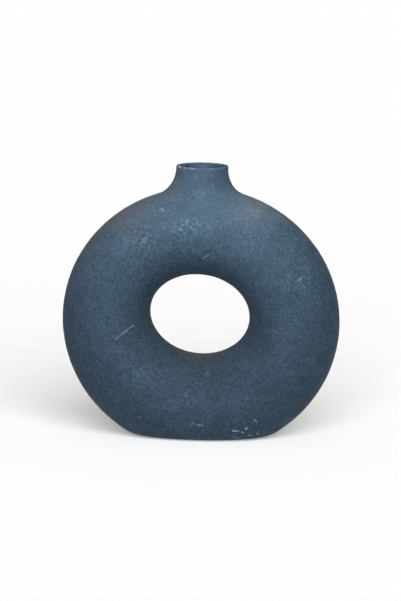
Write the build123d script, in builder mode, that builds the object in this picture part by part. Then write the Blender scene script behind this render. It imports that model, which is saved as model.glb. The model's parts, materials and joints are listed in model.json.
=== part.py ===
"""Donut vase: a hollow stoneware ring that stands upright on a flat foot, with a short flared neck on top.

Millimetres, +Z up, +X to the right and -Y to the front. The origin is on the floor, at the middle of the
ring's width and depth. The ring's face lies in the XZ plane and its hole runs along Y.

How the vase is put together, from the outside in:
  front_shell, back_shell  press-moulded half rings, butted at the mid-plane
  ring_seam                joining slip between the two halves, at the outer crest and round the hole
  neck                     flared collar with the lip, set on a bevelled opening in the top of the ring
  neck_seam                joining slip in that bevel
  base_slab                flat oval slab that closes the flattened underside
  base_seam                joining slip between slab and ring
  liner_glaze              thin glaze over the whole inside, which makes the vase hold water
  foot_pads                four felt discs under the slab
"""

from build123d import *
import math
import os

# ---- driving dimensions -------------------------------------------------------------------------
# outline of the ring in the XZ plane: two ovals, neither quite level, as formed by hand
RING_X, RING_Z = 0.0, 101.6  # centre of the outer oval
RING_A, RING_B, RING_TILT = 120.9, 116.6, -1.4  # its half width, half height and tilt in degrees
HOLE_X, HOLE_Z = -0.7, 107.4  # centre of the hole
HOLE_A, HOLE_B, HOLE_TILT = 43.6, 35.3, -5.5  # the hole's half width, half height and tilt
HALF_DEPTH = 38.3  # half the ring's depth along Y
WALL = 4.8  # clay wall of the ring
GLAZE = 0.5  # thickness of the liner glaze

# foot
PAD_T = 0.5  # felt pads under the slab
PAD_R = 6.0
PAD_X, PAD_Y = 27.0, 10.0
SLAB_T = 5.5  # base slab
FOOT_ROUND = 7.0  # rounding where the ring meets the flat foot

# neck
NECK_X = 1.1  # the neck sits a hair right of the middle
LIP_Z = 237.7  # height of the lip at the neck's axis
LIP_SLOPE = 0.8  # the lip was trimmed a little out of level, degrees, right side lower
NECK_R = 22.5  # outside of the neck just under the lip
BORE_R = 19.3  # clay bore, before the liner glaze
FLARE_R = 22.0  # outside flare from neck to ring
BORE_ROUND = 12.0  # inside rounding from bore to hollow
LIP_ROUND = 1.45  # rounding of the lip, inside and outside

# joints
SEAM = 0.7  # thickness of joining slip
BEVEL_Z = 180.5  # apex of the cone that the neck's bevel lies on
BEVEL_ANGLE = 41.4  # its half angle, square to the wall it cuts

STEP = 30  # degrees between the ring's sections
POINTS = 12  # points on each section

FOOT_Z = PAD_T
FLOOR_Z = FOOT_Z + SLAB_T


def reach(cx, cz, a, b, tilt, angle):
    """Distance from the hole's centre to a tilted oval, along a ray at that angle."""
    t = math.radians(tilt)
    c, s = math.cos(t), math.sin(t)
    px, pz = HOLE_X - cx, HOLE_Z - cz
    dx, dz = math.cos(math.radians(angle)), math.sin(math.radians(angle))
    u0, v0 = (c * px + s * pz) / a, (-s * px + c * pz) / b
    du, dv = (c * dx + s * dz) / a, (-s * dx + c * dz) / b
    qa, qb, qc = du * du + dv * dv, u0 * du + v0 * dv, u0 * u0 + v0 * v0 - 1
    return (-qb + math.sqrt(qb * qb - qa * qc)) / qa


def sections(first, last, inset):
    """Oval sections of the ring's tube, on planes that fan out from the hole's centre."""
    faces = []
    for angle in range(first, last + 1, STEP):
        far = reach(RING_X, RING_Z, RING_A, RING_B, RING_TILT, angle)
        near = reach(HOLE_X, HOLE_Z, HOLE_A, HOLE_B, HOLE_TILT, angle)
        mid, thick, deep = (far + near) / 2, (far - near) / 2 - inset, HALF_DEPTH - inset
        dx, dz = math.cos(math.radians(angle)), math.sin(math.radians(angle))
        plane = Plane(
            origin=(HOLE_X + mid * dx, 0, HOLE_Z + mid * dz),
            x_dir=(-dx, 0, -dz),
            z_dir=(-dz, 0, dx),
        )
        with BuildSketch(plane) as section:
            with BuildLine():
                Spline(
                    *[
                        (
                            thick * math.cos(2 * math.pi * k / POINTS),
                            deep * math.sin(2 * math.pi * k / POINTS),
                        )
                        for k in range(POINTS)
                    ],
                    periodic=True,
                )
            make_face()
        faces.append(section.sketch.face())
    return faces


def lip_plane(drop):
    """The plane of the lip, lowered by drop."""
    t = math.radians(LIP_SLOPE)
    return Plane(
        origin=(NECK_X, 0, LIP_Z - drop),
        x_dir=(math.cos(t), 0, -math.sin(t)),
        z_dir=(math.sin(t), 0, math.cos(t)),
    )


# ---- the three skins: outside of the clay, inside of the clay, inside of the glaze ----------------
# each ring is two lofts that run past the hole's level and are trimmed there, so the skin stays smooth
with BuildPart() as outer_upper:
    loft(sections=sections(-60, 240, 0.0))
    split(bisect_by=Plane.XY.offset(HOLE_Z), keep=Keep.TOP)
with BuildPart() as outer_lower:
    loft(sections=sections(120, 420, 0.0))
    split(bisect_by=Plane.XY.offset(HOLE_Z), keep=Keep.BOTTOM)
    split(bisect_by=Plane.XY.offset(FOOT_Z), keep=Keep.TOP)

with BuildPart() as inner_upper:
    loft(sections=sections(-60, 240, WALL))
    split(bisect_by=Plane.XY.offset(HOLE_Z), keep=Keep.TOP)
with BuildPart() as inner_lower:
    loft(sections=sections(120, 420, WALL))
    split(bisect_by=Plane.XY.offset(HOLE_Z), keep=Keep.BOTTOM)
    split(bisect_by=Plane.XY.offset(FLOOR_Z), keep=Keep.TOP)

with BuildPart() as glaze_upper:
    loft(sections=sections(-60, 240, WALL + GLAZE))
    split(bisect_by=Plane.XY.offset(HOLE_Z), keep=Keep.TOP)
with BuildPart() as glaze_lower:
    loft(sections=sections(120, 420, WALL + GLAZE))
    split(bisect_by=Plane.XY.offset(HOLE_Z), keep=Keep.BOTTOM)
    split(bisect_by=Plane.XY.offset(FLOOR_Z + GLAZE), keep=Keep.TOP)


def root_edges(part, radius):
    """The closed edge where a neck or bore of that radius meets the ring."""
    return [
        e
        for e in part.edges()
        if 195 < e.center().Z < LIP_Z - 12
        and abs(e.bounding_box().size.X - 2 * radius) < 0.5
        and abs(e.bounding_box().size.Y - 2 * radius) < 0.5
    ]


with BuildPart() as outside:
    add(outer_upper.part)
    add(outer_lower.part)
    fillet(outside.faces().sort_by(Axis.Z)[0].edges(), FOOT_ROUND)
    with BuildSketch(Plane.XY.offset(185)):
        with Locations((NECK_X, 0)):
            Circle(NECK_R)
    extrude(amount=LIP_Z + 4 - 185)
    fillet(root_edges(outside, NECK_R), FLARE_R)
    split(bisect_by=lip_plane(0), keep=Keep.BOTTOM)

with BuildPart() as hollow:
    add(inner_upper.part)
    add(inner_lower.part)
    with BuildSketch(Plane.XY.offset(185)):
        with Locations((NECK_X, 0)):
            Circle(BORE_R)
    extrude(amount=LIP_Z + 8 - 185)
    fillet(root_edges(hollow, BORE_R), BORE_ROUND)

with BuildPart() as waterspace:
    add(glaze_upper.part)
    add(glaze_lower.part)
    with BuildSketch(Plane.XY.offset(185)):
        with Locations((NECK_X, 0)):
            Circle(BORE_R - GLAZE)
    extrude(amount=LIP_Z + 8 - 185)
    fillet(root_edges(waterspace, BORE_R - GLAZE), BORE_ROUND + GLAZE)

# the whole clay wall, with the lip rounded inside and out
with BuildPart() as clay:
    add(outside.part)
    add(hollow.part, mode=Mode.SUBTRACT)
    lip = clay.faces().filter_by(GeomType.PLANE).sort_by(Axis.Z)[-1]
    fillet(lip.edges(), LIP_ROUND)


# ---- cutters that part the clay where it was joined ----------------------------------------------
def bevel(apex_z):
    """Solid cone that opens upwards from the neck's axis, for the bevelled neck joint."""
    t = math.tan(math.radians(BEVEL_ANGLE))
    top = 250.0
    with BuildPart() as cone:
        with BuildSketch(Plane.XZ):
            with BuildLine():
                Polyline(
                    (NECK_X, apex_z),
                    (NECK_X + (top - apex_z) * t, top),
                    (NECK_X, top),
                    close=True,
                )
            make_face()
        revolve(axis=Axis((NECK_X, 0, 0), (0, 0, 1)))
    return cone.part


BEVEL_SEAM = SEAM / math.sin(math.radians(BEVEL_ANGLE))
SLAB_TOP = FLOOR_Z
RING_BOTTOM = FLOOR_Z + SEAM

# ---- the pieces ----------------------------------------------------------------------------------
with BuildPart() as neck:
    add(clay.part)
    add(bevel(BEVEL_Z + BEVEL_SEAM), mode=Mode.INTERSECT)
neck.part.label = "neck"

with BuildPart() as neck_seam:
    add(clay.part)
    add(bevel(BEVEL_Z), mode=Mode.INTERSECT)
    add(bevel(BEVEL_Z + BEVEL_SEAM), mode=Mode.SUBTRACT)
neck_seam.part.label = "neck_seam"

with BuildPart() as base_slab:
    add(clay.part)
    split(bisect_by=Plane.XY.offset(SLAB_TOP), keep=Keep.BOTTOM)
base_slab.part.label = "base_slab"

with BuildPart() as base_seam:
    add(clay.part)
    split(bisect_by=Plane.XY.offset(SLAB_TOP), keep=Keep.TOP)
    split(bisect_by=Plane.XY.offset(RING_BOTTOM), keep=Keep.BOTTOM)
base_seam.part.label = "base_seam"

with BuildPart() as ring:
    add(clay.part)
    split(bisect_by=Plane.XY.offset(RING_BOTTOM), keep=Keep.TOP)
    add(bevel(BEVEL_Z), mode=Mode.SUBTRACT)

with BuildPart() as front_shell:
    add(ring.part)
    split(bisect_by=Plane.XZ.offset(SEAM / 2), keep=Keep.TOP)
front_shell.part.label = "front_shell"

with BuildPart() as back_shell:
    add(ring.part)
    split(bisect_by=Plane.XZ.offset(-SEAM / 2), keep=Keep.BOTTOM)
back_shell.part.label = "back_shell"

with BuildPart() as ring_seam:
    extrude(to_extrude=section(ring.part, section_by=Plane.XZ), amount=SEAM / 2, both=True)
ring_seam.part.label = "ring_seam"

with BuildPart() as liner_glaze:
    add(hollow.part)
    split(bisect_by=lip_plane(LIP_ROUND + 0.35), keep=Keep.BOTTOM)
    add(waterspace.part, mode=Mode.SUBTRACT)
liner_glaze.part.label = "liner_glaze"

with BuildPart() as foot_pads:
    with BuildSketch(Plane.XY):
        with GridLocations(2 * PAD_X, 2 * PAD_Y, 2, 2):
            Circle(PAD_R)
    extrude(amount=PAD_T)
foot_pads.part.label = "foot_pads"

os.makedirs("parts", exist_ok=True)
export_step(front_shell.part, "parts/front_shell.step")
export_step(back_shell.part, "parts/back_shell.step")
export_step(ring_seam.part, "parts/ring_seam.step")
export_step(neck.part, "parts/neck.step")
export_step(neck_seam.part, "parts/neck_seam.step")
export_step(base_slab.part, "parts/base_slab.step")
export_step(base_seam.part, "parts/base_seam.step")
export_step(liner_glaze.part, "parts/liner_glaze.step")
export_step(foot_pads.part, "parts/foot_pads.step")

for made in (front_shell, back_shell, ring_seam, neck, neck_seam, base_slab, base_seam, liner_glaze, foot_pads):
    box = made.part.bounding_box()
    print(
        made.part.label,
        "solids",
        len(made.part.solids()),
        "volume mm3",
        round(made.part.volume),
        "valid",
        made.part.is_valid,
        "z %.2f to %.2f" % (box.min.Z, box.max.Z),
        "y %.2f to %.2f" % (box.min.Y, box.max.Y),
    )
straight = [
    (f.bounding_box().min.Z, f.bounding_box().max.Z, f.radius)
    for f in liner_glaze.faces().filter_by(GeomType.CYLINDER)
]
print("bore walls of the liner: z from, to, radius", straight)
flat = foot_pads.part.bounding_box()
under = base_slab.faces().sort_by(Axis.Z)[0].bounding_box()
print("flat of the foot", round(under.size.X, 1), "x", round(under.size.Y, 1))
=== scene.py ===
import json
import math

import bpy
import numpy as np
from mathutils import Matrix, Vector

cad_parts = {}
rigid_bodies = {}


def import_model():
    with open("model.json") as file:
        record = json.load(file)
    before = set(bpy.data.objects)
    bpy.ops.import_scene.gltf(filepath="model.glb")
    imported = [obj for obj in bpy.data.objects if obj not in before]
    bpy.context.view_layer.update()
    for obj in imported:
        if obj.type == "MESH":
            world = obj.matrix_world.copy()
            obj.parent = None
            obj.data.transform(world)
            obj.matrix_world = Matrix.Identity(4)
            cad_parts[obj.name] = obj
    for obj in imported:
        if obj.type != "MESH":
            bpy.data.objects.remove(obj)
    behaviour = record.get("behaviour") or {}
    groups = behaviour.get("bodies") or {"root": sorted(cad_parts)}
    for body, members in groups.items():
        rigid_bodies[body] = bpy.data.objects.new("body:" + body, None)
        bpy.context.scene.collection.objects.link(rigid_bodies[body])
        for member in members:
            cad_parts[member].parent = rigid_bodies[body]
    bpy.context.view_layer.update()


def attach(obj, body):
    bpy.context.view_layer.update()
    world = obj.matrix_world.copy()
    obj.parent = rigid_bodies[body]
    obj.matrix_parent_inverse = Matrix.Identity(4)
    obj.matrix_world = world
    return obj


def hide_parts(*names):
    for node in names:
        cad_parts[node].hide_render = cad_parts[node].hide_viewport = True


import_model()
scene = bpy.context.scene

# ---- the vase's form, in millimetres, as in the CAD model -----------------------------------------
RING_X, RING_Z = 0.0, 101.6
RING_A, RING_B, RING_TILT = 120.9, 116.6, -1.4
HOLE_X, HOLE_Z = -0.7, 107.4
HOLE_A, HOLE_B, HOLE_TILT = 43.6, 35.3, -5.5
HALF_DEPTH = 38.3
WALL, GLAZE = 4.8, 0.5
PAD_T, PAD_R, PAD_X, PAD_Y = 0.5, 6.0, 27.0, 10.0
FOOT_Z, FLOOR_Z, FOOT_ROUND = 0.5, 6.0, 7.0
NECK_X, LIP_Z, LIP_SLOPE = 1.1, 237.7, 0.8
NECK_R, BORE_R, FLARE_R, BORE_ROUND, LIP_ROUND = 22.5, 19.3, 22.0, 12.0, 1.45
SEAM, BEVEL_Z, BEVEL_ANGLE = 0.7, 180.5, 41.4
RING_BOTTOM = FLOOR_Z + SEAM
BEVEL_T = math.tan(math.radians(BEVEL_ANGLE))
BEVEL_SEAM = SEAM / math.sin(math.radians(BEVEL_ANGLE))
LEAN = 0.030  # the neck leans a little to the right
MM = 0.001


def reach(cx, cz, a, b, tilt, ang):
    """Distance from the hole's centre to a tilted oval, along a ray."""
    t = math.radians(tilt)
    c, s = math.cos(t), math.sin(t)
    px, pz = HOLE_X - cx, HOLE_Z - cz
    dx, dz = np.cos(ang), np.sin(ang)
    u0, v0 = (c * px + s * pz) / a, (-s * px + c * pz) / b
    du, dv = (c * dx + s * dz) / a, (-s * dx + c * dz) / b
    qa, qb, qc = du * du + dv * dv, u0 * du + v0 * dv, u0 * u0 + v0 * v0 - 1
    return (-qb + np.sqrt(qb * qb - qa * qc)) / qa


def ring_parts(P, inset):
    """Signed distance to the ring's tube, near enough, positive outside, and its direction."""
    X, Z = P[:, 0] - HOLE_X, P[:, 2] - HOLE_Z
    ang, rho = np.arctan2(Z, X), np.hypot(X, Z)
    far = reach(RING_X, RING_Z, RING_A, RING_B, RING_TILT, ang)
    near = reach(HOLE_X, HOLE_Z, HOLE_A, HOLE_B, HOLE_TILT, ang)
    a, b = (far - near) / 2 - inset, HALF_DEPTH - inset
    u, v = rho - (far + near) / 2, P[:, 1]
    k0 = np.sqrt((u / a) ** 2 + (v / b) ** 2)
    k1 = np.maximum(np.sqrt((u / a**2) ** 2 + (v / b**2) ** 2), 1e-6)
    gu, gv = u / a**2 / k1, v / b**2 / k1
    return k0 * (k0 - 1) / k1, (gu * np.cos(ang), gv, gu * np.sin(ang))


def ring_field(P, inset):
    return ring_parts(P, inset)[0]


def axis_x(z):
    return NECK_X + (z - 228.5) * LEAN


def joined(P, inset, radius, ball):
    """The ring's tube and an upright neck or bore, joined by the fillet that a ball rolled along both would leave."""
    a, (gx, gy, _) = ring_parts(P, inset)
    dx, dy = P[:, 0] - axis_x(P[:, 2]), P[:, 1]
    r = np.hypot(dx, dy)
    b = np.maximum(r - radius, 186.5 - P[:, 2])
    out = np.minimum(a, b)
    near = (a < ball) & (b < ball) & (P[:, 2] > 181.5)
    if near.any():
        rr = np.maximum(r[near], 1e-6)
        c = np.clip((gx[near] * dx[near] + gy[near] * dy[near]) / rr, -0.9, 0.9)
        ea, eb = ball - a[near], ball - b[near]
        p, q = (ea - c * eb) / (1 - c * c), (eb - c * ea) / (1 - c * c)
        f = ball - np.sqrt(np.maximum(p * p + q * q + 2 * p * q * c, 0))
        out[near] = np.where((p > 0) & (q > 0), f, out[near])
    return out


def lip_height(P):
    t = math.radians(LIP_SLOPE)
    ang = np.arctan2(P[:, 1], P[:, 0] - NECK_X)
    wave = 0.13 * np.sin(2 * ang + 0.7) + 0.07 * np.sin(3 * ang + 2.1)
    return (
        math.sin(t) * (P[:, 0] - NECK_X) + math.cos(t) * (P[:, 2] - LIP_Z) + 0.2 - wave
    )


def blend_cut(a, b, r):
    """What lies in both solids, with the edge between them rounded to radius r."""
    return np.minimum(-r, np.maximum(a, b)) + np.hypot(
        np.maximum(a + r, 0), np.maximum(b + r, 0)
    )


# ---- relief: what hands, ribs and sponge leave in the clay ---------------------------------------
_rng = np.random.RandomState(11)
_PERM = np.concatenate([_rng.permutation(512)] * 2).astype(np.int64)
_GRAD = _rng.normal(size=(512, 3))
_GRAD /= np.linalg.norm(_GRAD, axis=1)[:, None]


def noise(P, size, seed):
    """Smooth gradient noise, about -0.7 to 0.7, with features of that size."""
    Q = P / size + seed * 17.31
    base = np.floor(Q).astype(np.int64)
    f = Q - base
    w = f * f * f * (f * (f * 6 - 15) + 10)
    out = np.zeros(len(P))
    for i in (0, 1):
        for j in (0, 1):
            for k in (0, 1):
                h = _PERM[(base[:, 0] + i) & 511]
                h = _PERM[(h + base[:, 1] + j) & 511]
                h = _PERM[(h + base[:, 2] + k) & 511]
                g = _GRAD[h]
                d = (
                    g[:, 0] * (f[:, 0] - i)
                    + g[:, 1] * (f[:, 1] - j)
                    + g[:, 2] * (f[:, 2] - k)
                )
                ww = (
                    (w[:, 0] if i else 1 - w[:, 0])
                    * (w[:, 1] if j else 1 - w[:, 1])
                    * (w[:, 2] if k else 1 - w[:, 2])
                )
                out += ww * d
    return out


def relief(P):
    """How far the real surface stands off the even form, in millimetres."""
    h = 0.34 * noise(P, 52.0, 1) + 0.16 * noise(P, 23.0, 2)
    h += 0.075 * noise(P, 9.0, 3) + 0.035 * noise(P, 4.0, 4)
    # the side seam was scraped level, and shows as a faint dip with a soft ridge along it
    y = P[:, 1]
    rho = np.hypot(P[:, 0] - HOLE_X, P[:, 2] - HOLE_Z)
    rim = np.clip((rho - 70.0) / 20.0, 0, 1) * np.clip((215.5 - P[:, 2]) / 8.0, 0, 1)
    wander = 1.4 * noise(P * np.array([1.0, 0.0, 1.0]), 30.0, 6)
    h -= rim * 0.16 * np.exp(-(((y - wander) / 1.9) ** 2)) * (
        1 + 0.8 * noise(P, 14.0, 7)
    )
    h += rim * 0.07 * np.exp(-(((y - wander - 3.6) / 1.8) ** 2))
    return h


def dents(P):
    """Small chips worn out of the lip, deepest at the front left."""
    out = np.zeros(len(P))
    ang = np.degrees(np.arctan2(P[:, 1], P[:, 0] - axis_x(P[:, 2])))
    for a, r, dz, size, deep in LIP_CHIPS:
        c = np.array(
            [
                axis_x(237.5) + r * math.cos(math.radians(a)),
                r * math.sin(math.radians(a)),
                LIP_Z + dz - math.sin(math.radians(LIP_SLOPE)) * r * math.cos(math.radians(a)),
            ]
        )
        d = P - c
        q = (d**2).sum(1) / size**2
        out += deep * np.exp(-q)
    return out


LIP_CHIPS = [
    (-164.0, 22.2, -0.4, 1.0, 0.42),
    (-158.0, 22.4, -0.8, 0.9, 0.30),
    (-149.0, 22.1, -0.2, 1.2, 0.38),
    (-141.0, 22.3, -0.5, 0.8, 0.34),
    (-133.0, 22.0, -0.1, 1.0, 0.30),
    (-126.0, 22.2, -0.5, 0.8, 0.26),
    (-118.0, 21.9, 0.0, 0.9, 0.24),
    (-108.0, 22.2, -0.5, 0.7, 0.20),
    (-30.0, 22.2, -0.3, 0.8, 0.18),
    (64.0, 22.1, -0.2, 0.9, 0.25),
    (120.0, 22.2, -0.4, 1.0, 0.22),
]


def even_skin(P):
    return joined(P, 0.0, NECK_R, FLARE_R)


def skin(P):
    return even_skin(P) - relief(P)


def hollow(P):
    return joined(P, WALL, BORE_R, BORE_ROUND)


def waterspace(P):
    # the glaze thins out to nothing just under the lip
    thin = np.clip((-lip_height(P) - LIP_ROUND - 0.1) / 5.0, 0, 1)
    g = 0.02 + (GLAZE - 0.02) * thin * (2 - thin)
    return joined(P, WALL + GLAZE, BORE_R - g, BORE_ROUND + GLAZE)


def lip_body(P):
    top = lip_height(P)
    return (
        np.maximum(
            blend_cut(skin(P), top, LIP_ROUND), blend_cut(-hollow(P), top, LIP_ROUND)
        )
        + dents(P)
    )


def slab_skin(P):
    """The underside, with the edge that a rolling ball would leave. The long ends turn under more gently than the sides."""
    a, b = skin(P), FOOT_Z + 0.02 - P[:, 2]
    c = np.clip(-ring_parts(P, 0.0)[1][2], -0.5, 0.95)
    ball = np.minimum(34.0, 4.4 / (1 - c))
    ea, eb = a + ball, b + ball
    p, q = (ea - c * eb) / (1 - c * c), (eb - c * ea) / (1 - c * c)
    f = np.sqrt(np.maximum(p * p + q * q + 2 * p * q * c, 0)) - ball
    return np.where((p > 0) & (q > 0), f, np.maximum(a, b))


def gradient(field, P, here, eps=0.02):
    g = np.empty_like(P)
    for k in range(3):
        d = np.zeros(3)
        d[k] = eps
        g[:, k] = (field(P + d) - here) / eps
    return g


def settle(P, field, rounds=4, only=None, slope=None):
    """Moves points onto a field's zero surface, along the slope of a simpler field where one is given."""
    P = P.copy()
    pick = np.arange(len(P)) if only is None else np.nonzero(only)[0]
    for _ in range(rounds):
        Q = P[pick]
        f = field(Q)
        g = gradient(slope, Q, slope(Q)) if slope else gradient(field, Q, f)
        P[pick] = Q - g * (f / np.maximum((g**2).sum(1), 0.05))[:, None]
    return P


def unit(v):
    return v / np.maximum(np.linalg.norm(v, axis=-1, keepdims=True), 1e-12)


# ---- meshes --------------------------------------------------------------------------------------
def mesh_object(name, V, faces):
    """A mesh object from points in millimetres and quads or triangles."""
    me = bpy.data.meshes.new(name)
    V = np.asarray(V, float) * MM
    sizes = np.array([len(f) for f in faces], np.int32)
    flat = np.concatenate([np.asarray(f, np.int32) for f in faces])
    me.vertices.add(len(V))
    me.vertices.foreach_set("co", V.astype(np.float32).ravel())
    me.loops.add(len(flat))
    me.loops.foreach_set("vertex_index", flat)
    me.polygons.add(len(sizes))
    me.polygons.foreach_set(
        "loop_start", np.concatenate([[0], np.cumsum(sizes)[:-1]]).astype(np.int32)
    )
    me.update(calc_edges=True)
    ob = bpy.data.objects.new(name, me)
    scene.collection.objects.link(ob)
    return ob


def grid_faces(nu, nv, wrap_u=True, wrap_v=True, start=0):
    """Quads of a grid whose point (i, j) is start + i * nv + j."""
    iu = np.arange(nu if wrap_u else nu - 1)
    jv = np.arange(nv if wrap_v else nv - 1)
    i, j = np.meshgrid(iu, jv, indexing="ij")
    i2, j2 = (i + 1) % nu, (j + 1) % nv
    q = np.stack([i * nv + j, i2 * nv + j, i2 * nv + j2, i * nv + j2], -1)
    return q.reshape(-1, 4) + start


def volume_of(V, quads):
    a, b, c, d = (V[quads[:, k]] for k in range(4))
    return (
        np.einsum("ij,ij->i", a, np.cross(b, c)).sum()
        + np.einsum("ij,ij->i", a, np.cross(c, d)).sum()
    ) / 6


def outward(V, quads):
    return quads if volume_of(V, quads) > 0 else quads[:, ::-1]


def dress(ob, skins):
    """Smooth shading from the fields. skins is [(field, sign)]: a face whose corners all lie on a field's zero
    surface, and that faces the way of its slope, takes its normals from it. Other faces are joint faces and stay flat."""
    me = ob.data
    n = len(me.vertices)
    co = np.empty(n * 3, np.float32)
    me.vertices.foreach_get("co", co)
    P = co.reshape(-1, 3).astype(float) / MM
    nl = len(me.loops)
    lv = np.empty(nl, np.int32)
    me.loops.foreach_get("vertex_index", lv)
    npoly = len(me.polygons)
    start = np.empty(npoly, np.int32)
    total = np.empty(npoly, np.int32)
    fn = np.empty(npoly * 3, np.float32)
    me.polygons.foreach_get("loop_start", start)
    me.polygons.foreach_get("loop_total", total)
    me.polygons.foreach_get("normal", fn)
    fn = fn.reshape(-1, 3)
    owner = np.repeat(np.arange(npoly), total)
    normals = fn[owner].astype(float).copy()
    for field, sign, tol in skins:
        f = field(P)
        on = np.abs(f) < tol
        g = np.zeros_like(P)
        g[on] = unit(gradient(field, P[on], f[on])) * sign
        good = on[lv] & ((g[lv] * fn[owner]).sum(1) > 0.35)
        bad = np.bincount(owner, weights=~good, minlength=npoly)
        whole = bad == 0
        pick = whole[owner]
        normals[pick] = g[lv][pick]
    me.polygons.foreach_set("use_smooth", np.ones(npoly, bool))
    me.normals_split_custom_set(normals.tolist())
    me.update()
    return ob


def carve(ob, cutter, how):
    m = ob.modifiers.new("carve", "BOOLEAN")
    m.object = cutter
    m.operation = how
    m.solver = "MANIFOLD"
    dg = bpy.context.evaluated_depsgraph_get()
    me = bpy.data.meshes.new_from_object(ob.evaluated_get(dg))
    ob.modifiers.clear()
    old = ob.data
    ob.data = me
    bpy.data.meshes.remove(old)
    return ob


def block(name, lo, hi):
    x0, y0, z0 = lo
    x1, y1, z1 = hi
    V = [
        (x0, y0, z0), (x1, y0, z0), (x1, y1, z0), (x0, y1, z0),
        (x0, y0, z1), (x1, y0, z1), (x1, y1, z1), (x0, y1, z1),
    ]
    F = [(0, 3, 2, 1), (4, 5, 6, 7), (0, 1, 5, 4), (1, 2, 6, 5), (2, 3, 7, 6), (3, 0, 4, 7)]
    return mesh_object(name, V, F)


def bevel_cone(name, apex):
    """The cone that parts the neck from the ring, filled, opening upwards."""
    n, top = 720, 262.0
    a = 2 * np.pi * np.arange(n) / n
    r = (top - apex) * BEVEL_T
    V = [(NECK_X, 0.0, apex), (NECK_X, 0.0, top)]
    V += [(NECK_X + r * math.cos(t), r * math.sin(t), top) for t in a]
    F = []
    for i in range(n):
        j = (i + 1) % n
        F.append((0, 2 + j, 2 + i))
        F.append((1, 2 + i, 2 + j))
    return mesh_object(name, V, F)


def tube_points(nt, ns, inset):
    """The ring's tube as a grid, nt round the hole and ns round the section."""
    th = 2 * np.pi * np.arange(nt) / nt
    ph = 2 * np.pi * (np.arange(ns) + 0.5) / ns
    T, S = np.meshgrid(th, ph, indexing="ij")
    far = reach(RING_X, RING_Z, RING_A, RING_B, RING_TILT, T)
    near = reach(HOLE_X, HOLE_Z, HOLE_A, HOLE_B, HOLE_TILT, T)
    rho = (far + near) / 2 - ((far - near) / 2 - inset) * np.cos(S)
    y = (HALF_DEPTH - inset) * np.sin(S)
    return np.stack([HOLE_X + rho * np.cos(T), y, HOLE_Z + rho * np.sin(T)], -1).reshape(-1, 3)


def near_neck(P, r0, r1):
    r = np.hypot(P[:, 0] - NECK_X, P[:, 1])
    return (r > r0) & (r < r1) & (P[:, 2] > 150)


FINE = 1.0  # mesh density
nt, ns = int(660 * FINE), int(216 * FINE)
outer = tube_points(nt, ns, 0.0)
outer = settle(outer, even_skin, 4, near_neck(outer, 23.6, 60.0))
r_axis = np.hypot(outer[:, 0] - NECK_X, outer[:, 1])
outer = settle(outer, skin, 2, ~((r_axis < 23.6) & (outer[:, 2] > 150)), even_skin)
inner = tube_points(220, 72, WALL)
inner = settle(inner, hollow, 4, near_neck(inner, 20.3, 60.0))
quads_out = outward(outer, grid_faces(nt, ns))
quads_in = outward(inner, grid_faces(220, 72))[:, ::-1] + len(outer)
body_V = np.concatenate([outer, inner])
body_F = np.concatenate([quads_out, quads_in])

cone_a = bevel_cone("cut_cone_a", BEVEL_Z)
keep_front = block("cut_front", (-200, -90, RING_BOTTOM), (200, -SEAM / 2, 300))
keep_back = block("cut_back", (-200, SEAM / 2, RING_BOTTOM), (200, 90, 300))
keep_mid = block("cut_mid", (-200, -SEAM / 2, RING_BOTTOM), (200, SEAM / 2, 300))

pieces = {}
for name, keep in (
    ("front_shell_glazed", keep_front),
    ("back_shell_glazed", keep_back),
    ("ring_seam_line", keep_mid),
):
    ob = mesh_object(name, body_V, body_F)
    carve(ob, keep, "INTERSECT")
    carve(ob, cone_a, "DIFFERENCE")
    dress(ob, [(skin, 1, 0.06), (hollow, -1, 0.12)])
    pieces[name] = ob


# ---- the neck, its joint and the liner's bore: profiles walked round the axis ---------------------
def polar(alpha, r, z):
    x0 = axis_x(z)
    return np.stack([x0 + r * np.cos(alpha), r * np.sin(alpha), z], -1)


def walk(field, alpha, r, z, way, step, count):
    """Walks along a field's zero curve in each half-plane through the neck's axis. way +1 is outwards from the top."""
    r, z = r.copy(), z.copy()
    rs, zs = [], []
    eps = 0.01
    for k in range(count + 1):
        for _ in range(4 if k == 0 else 1):
            f = field(polar(alpha, r, z))
            gr = (field(polar(alpha, r + eps, z)) - f) / eps
            gz = (field(polar(alpha, r, z + eps)) - f) / eps
            n2 = np.maximum(gr**2 + gz**2, 0.05)
            r, z = r - f * gr / n2, z - f * gz / n2
        rs.append(r.copy())
        zs.append(z.copy())
        n = np.sqrt(n2)
        r, z = r + way * step * gz / n, z - way * step * gr / n
    return np.array(rs).T, np.array(zs).T  # columns are angles


def arc_until(alpha, R, Z, inside):
    """Length along each walk at which inside(P) first turns false, with the points' own lengths."""
    n, m = R.shape
    P = polar(alpha[:, None], R, Z)
    seg = np.linalg.norm(np.diff(P, axis=1), axis=2)
    s = np.concatenate([np.zeros((n, 1)), np.cumsum(seg, axis=1)], axis=1)
    v = inside(P.reshape(-1, 3)).reshape(n, m)
    k = np.argmax(v < 0, axis=1)
    assert (k > 0).all(), "a walk never reached its end"
    i = np.arange(n)
    v0, v1 = v[i, k - 1], v[i, k]
    t = v0 / (v0 - v1)
    return s, s[i, k - 1] + t * (s[i, k] - s[i, k - 1])


def sample(alpha, R, Z, s, want):
    """Points at lengths want (angles, rows) along each walk."""
    out = np.empty(want.shape + (3,))
    for i in range(len(alpha)):
        r = np.interp(want[i], s[i], R[i])
        z = np.interp(want[i], s[i], Z[i])
        out[i] = polar(np.full(len(r), alpha[i]), r, z)
    return out


def in_cone(apex):
    return lambda P: (P[:, 2] - apex) * BEVEL_T - np.hypot(P[:, 0] - NECK_X, P[:, 1])


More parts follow.
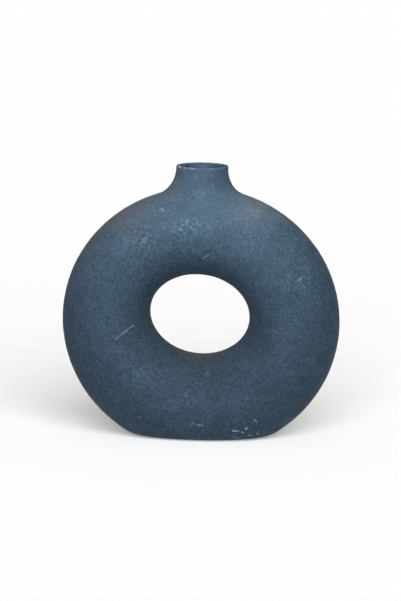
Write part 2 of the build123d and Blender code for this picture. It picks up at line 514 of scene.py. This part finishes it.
NA = 432
alpha = 2 * np.pi * np.arange(NA) / NA
r0 = np.full(NA, (NECK_R + BORE_R) / 2)
z0 = LIP_Z - math.tan(math.radians(LIP_SLOPE)) * (r0 * np.cos(alpha))
STEP = 0.14
Ro, Zo = walk(lip_body, alpha, r0, z0, 1, STEP, 330)
Ri, Zi = walk(lip_body, alpha, r0, z0, -1, STEP, 290)


def rows(first, fine, length, coarse):
    """Row lengths that start fine at the lip and coarsen towards each walk's end."""
    a = np.arange(0, first, fine)
    n = int(round((length.mean() - first) / coarse))
    t = np.linspace(0, 1, n + 1)
    return np.concatenate(
        [np.repeat(a[None], len(length), 0), first + (length[:, None] - first) * t[None]], axis=1
    )


so, end_b = arc_until(alpha, Ro, Zo, in_cone(BEVEL_Z + BEVEL_SEAM))
_, end_a = arc_until(alpha, Ro, Zo, in_cone(BEVEL_Z))
si, iend_b = arc_until(alpha, Ri, Zi, in_cone(BEVEL_Z + BEVEL_SEAM))
_, iend_a = arc_until(alpha, Ri, Zi, in_cone(BEVEL_Z))
out_rows = sample(alpha, Ro, Zo, so, rows(3.6, 0.19, end_b, 0.62))
in_rows = sample(alpha, Ri, Zi, si, rows(3.6, 0.19, iend_b, 0.9))
neck_V = np.concatenate([out_rows[:, ::-1], in_rows[:, 1:]], axis=1)
nv = neck_V.shape[1]
neck_V = neck_V.reshape(-1, 3)
neck = mesh_object("neck_collar", neck_V, outward(neck_V, grid_faces(NA, nv)))
dress(neck, [(lip_body, 1, 0.05)])
pieces["neck_collar"] = neck

# the joint under the collar
t = np.linspace(0, 1, 3)
so_rows = sample(alpha, Ro, Zo, so, end_b[:, None] + (end_a - end_b)[:, None] * t[None])
si_rows = sample(alpha, Ri, Zi, si, iend_b[:, None] + (iend_a - iend_b)[:, None] * t[None])
joint_V = np.concatenate([so_rows, si_rows[:, ::-1]], axis=1)
nv = joint_V.shape[1]
joint_V = joint_V.reshape(-1, 3)
neck_joint = mesh_object("neck_seam_line", joint_V, outward(joint_V, grid_faces(NA, nv)))
dress(neck_joint, [(skin, 1, 0.05), (hollow, -1, 0.1)])
pieces["neck_seam_line"] = neck_joint

# the liner glaze: the ring's hollow, and the bore up to just under the lip
clay_side = tube_points(260, 84, WALL)
clay_side = settle(clay_side, hollow, 4, near_neck(clay_side, 19.9, 60.0))
water_side = tube_points(260, 84, WALL + GLAZE)
water_side = settle(water_side, waterspace, 4, near_neck(water_side, 19.4, 60.0))
q = grid_faces(260, 84)
keep_clay = block("cut_liner_a", (-200, -90, FLOOR_Z), (200, 90, 300))
keep_water = block("cut_liner_b", (-200, -90, FLOOR_Z + GLAZE), (200, 90, 300))
liner = mesh_object("liner_glaze_skin", clay_side, outward(clay_side, q))
carve(liner, keep_clay, "INTERSECT")
water = mesh_object("cut_water", water_side, outward(water_side, q))
carve(water, keep_water, "INTERSECT")
carve(liner, water, "DIFFERENCE")
carve(liner, cone_a, "DIFFERENCE")
# its bore
rim = BORE_R + 0 * alpha
Rw, Zw = walk(
    waterspace, alpha, BORE_R - 0.1 + 0 * alpha, LIP_Z - 1.9 - math.tan(math.radians(LIP_SLOPE)) * BORE_R * np.cos(alpha), 1, 0.2, 210
)
Rc, Zc = walk(
    hollow, alpha, rim, LIP_Z - 1.9 - math.tan(math.radians(LIP_SLOPE)) * BORE_R * np.cos(alpha), 1, 0.2, 210
)
sw, wend = arc_until(alpha, Rw, Zw, in_cone(BEVEL_Z))
sc_, cend = arc_until(alpha, Rc, Zc, in_cone(BEVEL_Z))
t = np.linspace(0, 1, 44)
w_rows = sample(alpha, Rw, Zw, sw, wend[:, None] * t[None])
c_rows = sample(alpha, Rc, Zc, sc_, cend[:, None] * t[None, ::4])
bore_V = np.concatenate([w_rows, c_rows[:, ::-1]], axis=1)
nv = bore_V.shape[1]
bore_V = bore_V.reshape(-1, 3)
bore = mesh_object("cut_bore", bore_V, outward(bore_V, grid_faces(NA, nv)))
for other in (bore,):
    for o in scene.objects:
        o.select_set(False)
    other.select_set(True)
    liner.select_set(True)
    bpy.context.view_layer.objects.active = liner
    bpy.ops.object.join()
dress(liner, [(waterspace, -1, 0.12), (hollow, 1, 0.12)])
pieces["liner_glaze_skin"] = liner


# ---- foot: slab, its joint and the pads ------------------------------------------------------------
NB = 560
beta = 2 * np.pi * (np.arange(NB) + 0.5) / NB
OVAL = np.array([1.0, 0.47])  # so that the rays are spread evenly round the long oval
dirs = unit(np.stack([np.cos(beta), np.sin(beta)], -1) * OVAL)


def ray(r, z):
    return np.stack([dirs[:, 0] * r, dirs[:, 1] * r, z], -1)


def ring_at(field, z, sign=1.0):
    """The oval where a field is zero at a height, as a radius along each ray."""
    lo, hi = np.full(NB, 5.0), np.full(NB, 118.0)
    zz = np.full(NB, z)
    for _ in range(40):
        m = (lo + hi) / 2
        inside = field(ray(m, zz)) < 0
        lo, hi = np.where(inside, m, lo), np.where(inside, hi, m)
    return (lo + hi) / 2


def walk_down(field, z, step, count):
    """Walks from the oval at height z down and round under the foot, along each ray."""
    r, z = ring_at(field, z), np.full(NB, z)
    rs, zs = [], []
    eps = 0.01
    for k in range(count + 1):
        for _ in range(2):
            f = field(ray(r, z))
            gr = (field(ray(r + eps, z)) - f) / eps
            gz = (field(ray(r, z + eps)) - f) / eps
            n2 = np.maximum(gr**2 + gz**2, 0.05)
            if k:
                r, z = r - f * gr / n2, z - f * gz / n2
        rs.append(r.copy())
        zs.append(z.copy())
        n = np.sqrt(n2)
        r, z = r + step * gz / n, z - step * gr / n
    return np.array(rs).T, np.array(zs).T


# joint between slab and ring
hi_o, lo_o = ring_at(skin, RING_BOTTOM), ring_at(skin, FLOOR_Z)
mid_o = ring_at(skin, (RING_BOTTOM + FLOOR_Z) / 2)
hi_i, lo_i = ring_at(hollow, RING_BOTTOM), ring_at(hollow, FLOOR_Z)
e = np.ones(NB)
loop = [
    ray(hi_o, RING_BOTTOM * e), ray(mid_o, (RING_BOTTOM + FLOOR_Z) / 2 * e), ray(lo_o, FLOOR_Z * e),
    ray(lo_i, FLOOR_Z * e), ray(hi_i, RING_BOTTOM * e),
]
bj_V = np.stack(loop, 1).reshape(-1, 3)
base_joint = mesh_object("base_seam_line", bj_V, outward(bj_V, grid_faces(NB, 5)))
dress(base_joint, [(skin, 1, 0.05), (hollow, -1, 0.3)])
pieces["base_seam_line"] = base_joint

# slab
Rs, Zs = walk_down(slab_skin, FLOOR_Z, 0.3, 66)
under = Rs[:, -1]
cols = [ray(lo_o * f, FLOOR_Z * e) for f in (0.25, 0.5, 0.75, 0.9)]
cols += [ray(Rs[:, k], Zs[:, k]) for k in range(0, Rs.shape[1], 2)]
cols += [ray(under * f, Zs[:, -1] * 1.0) for f in (0.97, 0.93, 0.88, 0.82, 0.75, 0.67, 0.58, 0.49, 0.4, 0.31, 0.22, 0.13)]
slab_grid = np.stack(cols, 1)
nv = slab_grid.shape[1]
slab_V = np.concatenate([slab_grid.reshape(-1, 3), [(0, 0, FLOOR_Z), (0, 0, FOOT_Z + 0.02)]])
q = grid_faces(NB, nv, True, False)
flip = volume_of(slab_V, q) < 0
q = q[:, ::-1] if flip else q
caps = []
for i in range(NB):
    j = (i + 1) % NB
    a, b = i * nv, j * nv
    c, d = i * nv + nv - 1, j * nv + nv - 1
    top_c, low_c = len(slab_V) - 2, len(slab_V) - 1
    caps.append((top_c, a, b))
    caps.append((low_c, d, c))
slab = mesh_object("base_slab_foot", slab_V, list(q) + caps)
dress(slab, [(slab_skin, 1, 0.08)])
pieces["base_slab_foot"] = slab

# pads: pressed felt discs, a little uneven at the edge
pads_V, pads_F = [], []
for px, py in ((-PAD_X, -PAD_Y), (PAD_X, -PAD_Y), (PAD_X, PAD_Y), (-PAD_X, PAD_Y)):
    n = 96
    a = 2 * np.pi * np.arange(n) / n
    prof = [(0.15, 1.0), (0.5, 1.0), (0.8, 1.0), (0.985, 1.0), (1.0, 0.93), (1.008, 0.75), (1.008, 0.35), (1.0, 0.14), (0.985, 0.04), (0.95, 0.0), (0.8, 0.0), (0.5, 0.0), (0.15, 0.0)]
    edge = 1 + 0.006 * np.sin(5 * a + px) + 0.004 * np.sin(11 * a + py)
    start = len(pads_V)
    for i in range(n):
        for f, h in prof:
            rr = PAD_R * f * (edge[i] if f > 0.9 else 1.0)
            pads_V.append((px + rr * math.cos(a[i]), py + rr * math.sin(a[i]), PAD_T * h))
    m = len(prof)
    q = grid_faces(n, m, True, False)
    V = np.array(pads_V[start:])
    q = q[:, ::-1] if volume_of(V - V.mean(0), q) < 0 else q
    pads_F += [tuple(int(v) + start for v in f) for f in q]
    top_c = len(pads_V)
    pads_V += [(px, py, PAD_T), (px, py, 0.0)]
    for i in range(n):
        j = (i + 1) % n
        pads_F.append((top_c, start + i * m, start + j * m))
        pads_F.append((top_c + 1, start + j * m + m - 1, start + i * m + m - 1))
pads = mesh_object("felt_pads", pads_V, pads_F)
pads.data.polygons.foreach_set("use_smooth", np.ones(len(pads.data.polygons), bool))
pieces["felt_pads"] = pads

for o in list(scene.objects):
    if o.name.startswith("cut_"):
        me = o.data
        bpy.data.objects.remove(o)
        bpy.data.meshes.remove(me)

STANDS_FOR = {
    "front_shell_glazed": ("front_shell", "glaze_blue"),
    "back_shell_glazed": ("back_shell", "glaze_blue"),
    "ring_seam_line": ("ring_seam", "slip"),
    "neck_collar": ("neck", "glaze_blue"),
    "neck_seam_line": ("neck_seam", "slip"),
    "base_slab_foot": ("base_slab", "bare_clay"),
    "base_seam_line": ("base_seam", "slip"),
    "liner_glaze_skin": ("liner_glaze", "liner"),
    "felt_pads": ("foot_pads", "felt"),
}
for name, (node, slot) in STANDS_FOR.items():
    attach(pieces[name], "root")
    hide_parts(node)


# ---- materials -----------------------------------------------------------------------------------
class Net:
    """Builds a material's nodes. Every method returns an output socket, and takes sockets or plain numbers."""

    def __init__(self, name):
        self.mat = bpy.data.materials.new(name)
        self.mat.use_nodes = True
        self.tree = self.mat.node_tree
        self.shader = self.tree.nodes["Principled BSDF"]
        place = self.add("ShaderNodeTexCoord").outputs["Object"]
        self.P = self.vec("SCALE", place, scale=1000.0)  # millimetres in the vase's own frame

    def add(self, kind, **settings):
        node = self.tree.nodes.new(kind)
        for k, v in settings.items():
            setattr(node, k, v)
        return node

    def put(self, socket, value):
        if isinstance(value, bpy.types.NodeSocket):
            self.tree.links.new(value, socket)
        elif isinstance(value, (tuple, list)) and socket.type == "RGBA":
            socket.default_value = (*value, 1.0)
        else:
            socket.default_value = value

    def math(self, op, a, b=0.0, c=0.0, clamp=False):
        node = self.add("ShaderNodeMath", operation=op, use_clamp=clamp)
        for socket, value in zip(node.inputs, (a, b, c)):
            self.put(socket, value)
        return node.outputs[0]

    def vec(self, op, a, b=(0, 0, 0), scale=1.0):
        node = self.add("ShaderNodeVectorMath", operation=op)
        self.put(node.inputs[0], a)
        if op == "SCALE":
            self.put(node.inputs["Scale"], scale)
        elif op not in ("LENGTH", "NORMALIZE"):
            self.put(node.inputs[1], b)
        return node.outputs["Value" if op in ("LENGTH", "DOT_PRODUCT", "DISTANCE") else "Vector"]

    def noise(self, size, detail=2.0, rough=0.5, at=None, shift=0.0, warp=0.0):
        node = self.add("ShaderNodeTexNoise", noise_dimensions="4D")
        self.put(node.inputs["Vector"], at or self.P)
        node.inputs["W"].default_value = shift
        node.inputs["Scale"].default_value = 1.0 / size
        node.inputs["Detail"].default_value = detail
        node.inputs["Roughness"].default_value = rough
        node.inputs["Distortion"].default_value = warp
        return node.outputs["Fac"]

    def cells(self, size, at=None, shift=0.0, what="Distance", jitter=1.0):
        node = self.add("ShaderNodeTexVoronoi", voronoi_dimensions="4D", feature="F1")
        self.put(node.inputs["Vector"], at or self.P)
        node.inputs["W"].default_value = shift
        node.inputs["Scale"].default_value = 1.0 / size
        node.inputs["Randomness"].default_value = jitter
        return node.outputs[what]

    def fade(self, x, lo, hi, a=0.0, b=1.0, soft=True):
        """a below lo, b above hi, and between them in between. lo may be the higher one."""
        node = self.add("ShaderNodeMapRange", interpolation_type="SMOOTHSTEP" if soft else "LINEAR")
        if lo > hi:
            lo, hi, a, b = hi, lo, b, a
        for socket, value in zip(node.inputs, (x, lo, hi, a, b)):
            self.put(socket, value)
        return node.outputs[0]

    def mix(self, amount, a, b, how="MIX"):
        node = self.add("ShaderNodeMix", data_type="RGBA", blend_type=how)
        self.put(node.inputs[0], amount)
        self.put(node.inputs[6], a)
        self.put(node.inputs[7], b)
        return node.outputs[2]

    def blob(self, centre, radii, core=0.0):
        """1 inside a soft oval place on the vase, 0 outside it."""
        d = self.vec("SUBTRACT", self.P, centre)
        d = self.vec("DIVIDE", d, radii)
        return self.fade(self.vec("LENGTH", d), 1.0, core)

    def stroke(self, a, b, width):
        """1 on a thin straight mark from a to b. Depth counts for less, so that the relief doesn't break it."""
        flat = Vector((1.0, 0.3, 1.0))
        a, b = Vector(a) * flat, Vector(b) * flat
        u, length = (b - a).normalized(), (b - a).length
        d = self.vec("SUBTRACT", self.vec("MULTIPLY", self.P, tuple(flat)), tuple(a))
        t = self.vec("DOT_PRODUCT", d, tuple(u))
        t = self.math("MINIMUM", self.math("MAXIMUM", t, 0.0), length)
        foot = self.vec("SCALE", tuple(u), scale=t)
        off = self.vec("LENGTH", self.vec("SUBTRACT", d, foot))
        return self.fade(off, width, width * 0.25)

    def total(self, *parts):
        out = parts[0]
        for p in parts[1:]:
            out = self.math("ADD", out, p)
        return out

    def times(self, *parts):
        out = parts[0]
        for p in parts[1:]:
            out = self.math("MULTIPLY", out, p)
        return out

    def both(self, *parts):
        """The stronger of several masks."""
        out = parts[0]
        for p in parts[1:]:
            out = self.math("MAXIMUM", out, p)
        return out

    def bump(self, height, mm):
        node = self.add("ShaderNodeBump")
        node.inputs["Strength"].default_value = 1.0
        node.inputs["Distance"].default_value = mm * MM
        self.put(node.inputs["Height"], height)
        return node.outputs["Normal"]


def grey(net, value):
    node = net.add("ShaderNodeCombineColor")
    for socket in node.inputs[:3]:
        net.put(socket, value)
    return node.outputs[0]


def stoneware(name, bare_underside=False):
    n = Net(name)
    sep = n.add("ShaderNodeSeparateXYZ")
    n.put(sep.inputs[0], n.P)
    x, y, z = sep.outputs

    # where on the vase: how far round and how far out from the hole
    dx = n.math("SUBTRACT", x, HOLE_X)
    dz = n.math("SUBTRACT", z, HOLE_Z)
    out = n.math("SQRT", n.math("ADD", n.math("POWER", n.math("DIVIDE", dx, HOLE_A), 2.0), n.math("POWER", n.math("DIVIDE", dz, HOLE_B), 2.0)))

    # grain: a sandy dry surface, speckled at about a millimetre
    fine = n.noise(1.25, 2.0, 0.7, shift=3.0)
    coarse = n.noise(2.7, 2.0, 0.6, shift=7.0)
    mottle = n.noise(11.0, 3.0, 0.55, shift=11.0)
    broad = n.noise(46.0, 2.0, 0.5, shift=5.0)

    base = n.mix(n.fade(broad, 0.3, 0.7), (0.0186, 0.0372, 0.0590), (0.0211, 0.0418, 0.0660))
    base = n.mix(n.fade(mottle, 0.35, 0.7), base, (0.0239, 0.0468, 0.0735))

    # painted light: paler patches where the light falls brightest, on the upper front, the foot of the neck, the right
    # side and the lower front
    painted_light = n.both(
        n.times(n.blob((-6, -38, 189), (40, 34, 14)), 1.0),
        n.times(n.blob((-46, -36, 177), (30, 34, 17)), 0.75),
        n.times(n.blob((48, -33, 188), (28, 34, 18)), 0.45),
        n.times(n.blob((86, -34, 143), (26, 34, 24)), 0.55),
        n.times(n.blob((-46, -37, 58), (34, 34, 26)), 0.55),
        n.times(n.blob((-20, -38, 38), (40, 34, 20)), 0.50),
        n.times(n.blob((42, -38, 36), (46, 34, 22)), 0.40),
        n.times(n.blob((1, -22, 216), (17, 22, 34)), 0.45),
    )
    pale = (0.130, 0.220, 0.310)
    specks = n.fade(n.cells(1.55, shift=2.0), 0.40, 0.20)
    chance = n.fade(n.noise(3.2, 2.0, 0.7, shift=19.0), 0.52, 0.66)
    flecks = n.times(specks, chance)
    # the glaze's pale flecks show more in the painted light patches
    base = n.mix(n.times(flecks, n.fade(painted_light, 0.0, 1.0, 0.26, 0.80)), base, pale)
    worm = n.noise(7.5, 1.0, 0.4, at=n.vec("MULTIPLY", n.P, (1.0, 1.0, 1.7)), shift=41.0, warp=0.8)
    rings = n.times(n.fade(n.math("ABSOLUTE", n.math("SUBTRACT", worm, 0.5)), 0.030, 0.004), n.fade(painted_light, 0.45, 1.0), n.fade(coarse, 0.40, 0.60))
    base = n.mix(n.times(rings, 0.55), base, pale)
    # painted highlight: a paler overlay on the same lit patches
    base = n.mix(n.times(painted_light, n.fade(coarse, 0.35, 0.75), 0.16), base, pale)

    # painted warm reflection on upward-facing places: brown on the upper left shoulder and the left of the neck's foot,
    # grey-yellow on the right shoulder
    painted_warm_sheen = n.both(
        n.times(n.blob((-72, -8, 200), (60, 60, 40)), 0.90),
        n.times(n.blob((-96, -4, 158), (30, 50, 56)), 0.50),
        n.times(n.blob((-24, -10, 217), (17, 30, 26)), 0.55),
    )
    base = n.mix(n.times(painted_warm_sheen, n.fade(mottle, 0.25, 0.75, 0.75, 1.0)), base, (0.0430, 0.0470, 0.0530))
    painted_yellow_sheen = n.times(n.blob((52, -12, 203), (44, 44, 24)), 0.60)
    base = n.mix(n.times(painted_yellow_sheen, n.fade(mottle, 0.25, 0.75, 0.6, 1.0)), base, (0.0740, 0.0860, 0.0930))

    # painted shade round the throat of the hole, stronger on its lower side, and at its lower right and below it
    painted_throat_shade = n.both(
        n.times(n.fade(out, 1.95, 0.95), n.fade(dz, 30.0, -12.0, 0.42, 1.0), 0.46),
        n.times(n.blob((50, -18, 90), (34, 60, 44)), 0.55),
        n.times(n.blob((14, -30, 60), (66, 44, 26)), 0.42),
    )
    base = n.mix(painted_throat_shade, base, (0.0050, 0.0088, 0.0145))
    # painted warm reflection along the hole's lower lip
    rim = n.blob((0, -4, 72.5), (40, 22, 9.5))
    base = n.mix(n.times(rim, n.fade(mottle, 0.2, 0.7, 0.7, 1.0), 0.85), base, (0.0400, 0.0340, 0.0310))

    grain = n.total(
        n.fade(fine, 0.30, 0.70, -0.62, 0.62, False),
        n.fade(coarse, 0.28, 0.72, -0.26, 0.26, False),
    )
    grain = n.times(grain, n.fade(z, 170.0, 212.0, 0.92, 0.55))  # the neck was sponged smoother
    speck = n.math("MAXIMUM", n.math("ADD", 1.0, grain), 0.15)
    base = n.mix(1.0, base, grey(n, speck), "MULTIPLY")

    # chalky specks near the foot, wear along the lip and a few light scratches
    crumbs = n.both(
        n.stroke((42.7, -32.1, 13.1), (43.2, -32.0, 13.4), 1.25),
        n.stroke((45.2, -25.0, 6.3), (45.6, -25.0, 6.7), 1.1),
        n.stroke((52.0, -24.4, 7.5), (52.3, -24.4, 7.6), 0.9),
        n.times(n.stroke((31.4, -33.3, 11.2), (36.2, -32.5, 11.0), 0.8), 0.75),
        n.times(n.stroke((30.5, -28.0, 5.6), (35.0, -26.0, 4.2), 0.9), 0.65),
        n.times(n.stroke((50.2, -34.3, 21.5), (52.2, -33.5, 19.4), 0.9), 0.55),
        n.times(n.stroke((40.4, -30.5, 9.5), (38.9, -31.0, 9.9), 0.7), 0.7),
        n.times(n.stroke((-5.2, -36.6, 15.9), (-2.6, -37.0, 18.0), 0.8), 0.3),
        n.times(n.stroke((0.6, -36.9, 16.6), (4.9, -37.0, 16.2), 0.8), 0.3),
    )
    chalk_at = n.both(
        n.times(n.blob((44, -31, 13), (17, 26, 11), 0.2), 1.0),
        n.times(n.blob((2, -37, 16), (13, 20, 7)), 0.7),
    )
    chalk = n.times(n.fade(n.cells(1.6, shift=31.0), 0.44, 0.24), n.fade(n.noise(2.6, 2.0, 0.7, shift=23.0), 0.53, 0.62), chalk_at)
    base = n.mix(n.both(n.times(chalk, 0.7), n.times(crumbs, n.fade(fine, 0.34, 0.52, 0.15, 0.9))), base, (0.40, 0.50, 0.56))
    scratches = n.both(
        n.times(n.stroke((-64.0, -34.3, 95.1), (-55.5, -27.5, 101.2), 0.85), 0.75),
        n.times(n.stroke((-70.5, -37.0, 90.0), (-64.5, -34.5, 94.4), 0.7), 0.55),
        n.times(n.stroke((5.5, -33.4, 161.4), (10.9, -35.5, 165.0), 0.8), 0.55),
        n.times(n.stroke((-31.2, -26.8, 203.4), (-28.6, -29.3, 201.0), 1.1), 0.4),
        n.times(n.stroke((-46.9, -33.6, 145.7), (-46.3, -33.6, 145.2), 1.2), 0.6),
        n.times(n.stroke((85.8, -35.8, 142.6), (90.3, -33.5, 146.2), 0.9), 0.6),
        n.times(n.stroke((91.7, -34.1, 139.6), (93.4, -33.8, 137.0), 0.8), 0.5),
        n.times(n.stroke((-51.3, -34.0, 21.9), (-47.4, -34.6, 21.5), 0.9), 0.65),
        n.times(n.stroke((7.6, -27.6, 58.9), (10.6, -25.5, 61.8), 0.8), 0.3),
    )
    base = n.mix(n.times(scratches, n.fade(fine, 0.38, 0.56, 0.10, 0.62)), base, (0.20, 0.30, 0.39))
    edge_on = n.both(n.blob((-19, -12, 237.6), (7, 9, 2.2), 0.3), n.blob((-9, -20.5, 237.4), (10, 4.5, 1.7), 0.3), n.times(n.blob((14, -17, 237.2), (9, 7, 1.5)), 0.5))
    wear = n.times(edge_on, n.fade(n.noise(1.5, 2.0, 0.7, shift=13.0), 0.50, 0.60))
    base = n.mix(n.times(wear, 0.75), base, (0.36, 0.38, 0.38))

    if bare_underside:
        edge = n.math("ADD", z, n.fade(n.noise(7.0, 3.0, 0.6, shift=2.0), 0.2, 0.8, -0.25, 0.25, False))
        clay = n.mix(n.fade(n.noise(3.0, 4.0, 0.65), 0.3, 0.7), (0.20, 0.165, 0.13), (0.31, 0.27, 0.22))
        grog = n.fade(n.cells(1.7, shift=4.0), 0.30, 0.18)
        clay = n.mix(n.times(grog, n.fade(n.noise(5.0, shift=9.0), 0.5, 0.6), 0.8), clay, (0.07, 0.05, 0.04))
        bare = n.fade(edge, 0.95, 0.70)
        base = n.mix(bare, base, clay)

    n.put(n.shader.inputs["Base Color"], base)
    n.put(n.shader.inputs["Roughness"], n.fade(coarse, 0.3, 0.7, 0.74, 0.92))
    n.shader.inputs["IOR"].default_value = 1.46
    n.shader.inputs["Specular IOR Level"].default_value = 0.28
    height = n.total(n.times(fine, 1.0), n.times(coarse, 0.9), n.times(flecks, 0.15), n.times(crumbs, 0.4))
    n.put(n.shader.inputs["Normal"], n.bump(height, 0.22))
    return n.mat


def liner_glaze():
    n = Net("liner_glaze")
    tone = n.noise(16.0, 3.0, 0.5)
    base = n.mix(n.fade(tone, 0.3, 0.7), (0.010, 0.022, 0.044), (0.019, 0.038, 0.070))
    pin = n.fade(n.cells(3.2), 0.18, 0.10)
    base = n.mix(n.times(pin, 0.5), base, (0.10, 0.14, 0.18))
    n.put(n.shader.inputs["Base Color"], base)
    n.put(n.shader.inputs["Roughness"], n.fade(n.noise(5.0, 2.0), 0.3, 0.7, 0.48, 0.62))
    n.shader.inputs["Specular IOR Level"].default_value = 0.3
    n.put(n.shader.inputs["Normal"], n.bump(n.total(n.noise(6.0, 2.0), n.times(pin, -0.4)), 0.18))
    return n.mat


def felt():
    n = Net("pressed_felt")
    fibre = n.noise(0.55, 4.0, 0.7, at=n.vec("MULTIPLY", n.P, (1.0, 1.0, 2.6)), warp=1.2)
    base = n.mix(n.fade(fibre, 0.3, 0.7), (0.022, 0.021, 0.020), (0.062, 0.058, 0.054))
    n.put(n.shader.inputs["Base Color"], base)
    n.shader.inputs["Roughness"].default_value = 1.0
    n.shader.inputs["Sheen Weight"].default_value = 0.25
    n.put(n.shader.inputs["Normal"], n.bump(fibre, 0.25))
    return n.mat


glaze = stoneware("stoneware_glaze")
FINISH = {
    "base_slab_foot": stoneware("stoneware_foot", True),
    "liner_glaze_skin": liner_glaze(),
    "felt_pads": felt(),
}
for name in pieces:
    pieces[name].data.materials.clear()
    pieces[name].data.materials.append(FINISH.get(name, glaze))

# ---- floor, light and camera -----------------------------------------------------------------------
V = [(-60000, -60000, 0), (60000, -60000, 0), (60000, 60000, 0), (-60000, 60000, 0)]
floor = mesh_object("floor", V, [(0, 1, 2, 3)])
paper = Net("white_table")
paper.put(paper.shader.inputs["Base Color"], (0.8, 0.8, 0.8))
paper.shader.inputs["Roughness"].default_value = 0.9
paper.shader.inputs["Specular IOR Level"].default_value = 0.0
paper.put(paper.shader.inputs["Emission Color"], (1, 1, 1))
paper.shader.inputs["Emission Strength"].default_value = 0.21
floor.data.materials.append(paper.mat)

world = bpy.data.worlds.new("studio")
scene.world = world
world.use_nodes = True
world.node_tree.nodes["Background"].inputs["Color"].default_value = (1, 1, 1, 1)
world.node_tree.nodes["Background"].inputs["Strength"].default_value = 1.0
world.cycles_visibility.diffuse = False
world.cycles_visibility.glossy = False  # the white backdrop is seen, and the lamps below do the lighting


def lamp(name, kind, power, toward, place=(0, 0, 1)):
    light = bpy.data.lights.new(name, kind)
    light.energy = power
    ob = bpy.data.objects.new(name, light)
    scene.collection.objects.link(ob)
    ob.location = place
    ob.rotation_euler = Vector(toward).to_track_quat("-Z", "Y").to_euler()
    return light, ob


def soft_sun(name, power, azimuth, elevation, spread, lights):
    a, e = math.radians(azimuth), math.radians(elevation)
    v = Vector((math.sin(a) * math.cos(e), -math.cos(a) * math.cos(e), math.sin(e)))
    light, ob = lamp(name, "SUN", power, -v)
    light.angle = math.radians(spread)
    ob.light_linking.receiver_collection = lights


# the table has its own lamps, as a photographer lights the backdrop apart from the object
lit_vase = bpy.data.collections.new("lit_vase")
lit_table = bpy.data.collections.new("lit_table")
for ob in pieces.values():
    lit_vase.objects.link(ob)
lit_table.objects.link(floor)

soft_sun("ceiling", 1.2, 0.0, 90.0, 170.0, lit_vase)
soft_sun("window_right", 0.9, 26.0, 15.0, 36.0, lit_vase)
soft_sun("window_left", 0.15, -32.0, 15.0, 36.0, lit_vase)
soft_sun("back_wall", 0.8, 180.0, 40.0, 120.0, lit_vase)
soft_sun("table_sky", 0.8, 0.0, 90.0, 160.0, lit_table)
soft_sun("table_front", 5.0, 13.0, 27.0, 58.0, lit_table)
near_place = Vector((0.0, -0.2, 0.36))
near, ob = lamp("softbox", "AREA", 1.75, Vector((0, 0, 0.13)) - near_place, near_place)
near.shape, near.size = "DISK", 0.3
ob.light_linking.receiver_collection = lit_vase

# the photograph's camera: 6 degrees round to the right, 10 degrees above, far back
AZ, EL = math.radians(6.0), math.radians(9.92)
back = Vector((math.sin(AZ) * math.cos(EL), -math.cos(AZ) * math.cos(EL), math.sin(EL)))
aim = Vector((0.0, 0.0, 0.1086))
cam_data = bpy.data.cameras.new("camera")
cam_data.sensor_fit = "AUTO"
cam_data.sensor_width = 36.0
cam_data.lens = 36.0 * 2700.0 / 601.0
cam_data.shift_x = -0.15 / 601.0
cam_data.shift_y = 12.03 / 601.0
cam_data.clip_start, cam_data.clip_end = 0.05, 60.0
cam = bpy.data.objects.new("camera", cam_data)
scene.collection.objects.link(cam)
cam.location = aim + back * (2700.0 * 0.87 * MM)
cam.rotation_euler = (-back).to_track_quat("-Z", "Y").to_euler()
scene.camera = cam
scene.view_settings.view_transform = "Standard"
